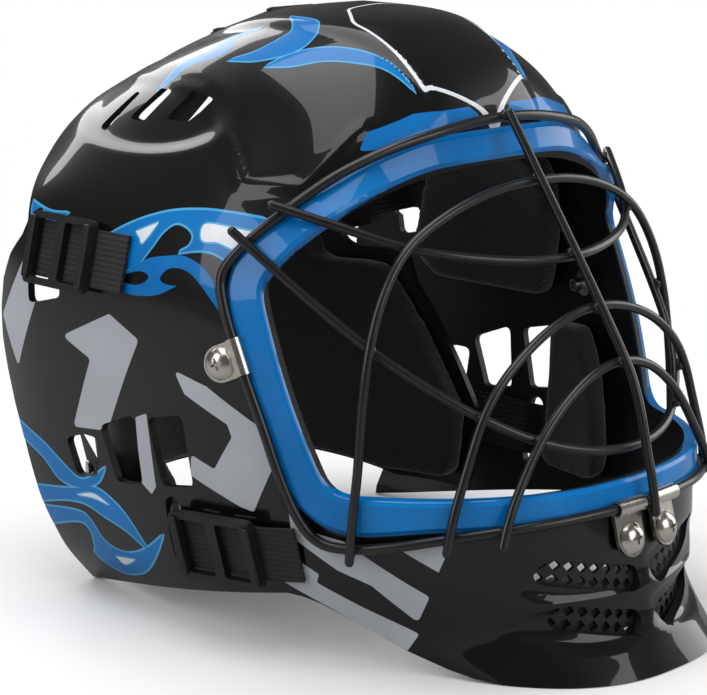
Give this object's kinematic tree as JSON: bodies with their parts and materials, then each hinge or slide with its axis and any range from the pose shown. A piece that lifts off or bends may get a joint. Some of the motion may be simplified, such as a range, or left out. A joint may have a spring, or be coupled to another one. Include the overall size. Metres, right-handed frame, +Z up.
{
  "type": "goalie mask",
  "caption": "Full-face goalie mask: moulded shell with face port and vents, welded wire cage held by clips, foam lining and a strapped back plate.",
  "frame": {"origin": "floor under the middle of the mask's length, where it stands on its chin lip and rear corners", "axes": "+Z up, -Y the way the face looks, +X the wearer's left"},
  "size_m": [0.2548, 0.3123, 0.2533],
  "materials": {
    "gloss_shell": "polished",
    "cage_wire": "satin",
    "nickel": "bright nickel",
    "black_moulding": "satin",
    "webbing": "ribbed weave",
    "foam": "brushed cloth over foam",
    "mesh": "satin"
  },
  "bodies": {
    "mask": {"shell": "gloss_shell", "cage_rim": "cage_wire", "cage_centre_bar": "cage_wire", "cage_upper_hoop": "cage_wire", "cage_middle_hoop": "cage_wire", "cage_lower_hoop": "cage_wire", "cage_upper_cross_bar": "cage_wire", "cage_lower_cross_bar": "cage_wire", "side_clips": "nickel", "chin_clips": "nickel", "clip_screws": "nickel", "clip_nuts": "nickel", "chin_grilles": "mesh", "side_pad_right": "foam", "side_pad_left": "foam", "jaw_pad_right": "foam", "jaw_pad_left": "foam", "forehead_pad": "foam", "crown_pad": "foam", "chin_pad": "foam", "upper_strap_right": "webbing", "upper_strap_left": "webbing", "lower_strap_right": "webbing", "lower_strap_left": "webbing", "top_strap": "webbing"},
    "back_plate": {"back_plate": "black_moulding", "back_pad": "foam", "plate_rivets": "nickel"},
    "upper_buckle_right": {"upper_buckle_right": "black_moulding"},
    "upper_buckle_left": {"upper_buckle_left": "black_moulding"},
    "lower_buckle_right": {"lower_buckle_right": "black_moulding"},
    "lower_buckle_left": {"lower_buckle_left": "black_moulding"},
    "top_buckle": {"top_buckle": "black_moulding"}
  },
  "joints": [
    {"name": "back_plate_pull", "type": "slide", "parent": "mask", "child": "back_plate", "axis": [0, 1, 0], "range_m": [0, 0.03], "stiffness_N_per_m": 300, "deforming": ["upper_strap_right", "upper_strap_left", "lower_strap_right", "lower_strap_left", "top_strap"]},
    {"name": "upper_buckle_right_slide", "type": "slide", "parent": "mask", "child": "upper_buckle_right", "axis": [0.0318, 0.9995, -0.0079], "range_m": [-0.004, 0.004]},
    {"name": "upper_buckle_left_slide", "type": "slide", "parent": "mask", "child": "upper_buckle_left", "axis": [-0.0318, 0.9995, -0.0079], "range_m": [-0.004, 0.004]},
    {"name": "lower_buckle_right_slide", "type": "slide", "parent": "mask", "child": "lower_buckle_right", "axis": [-0.1608, 0.986, -0.0431], "range_m": [-0.004, 0.004]},
    {"name": "lower_buckle_left_slide", "type": "slide", "parent": "mask", "child": "lower_buckle_left", "axis": [0.1608, 0.986, -0.0431], "range_m": [-0.004, 0.004]},
    {"name": "top_buckle_slide", "type": "slide", "parent": "mask", "child": "top_buckle", "axis": [0, 0.9526, -0.3042], "range_m": [-0.004, 0.004]}
  ]
}
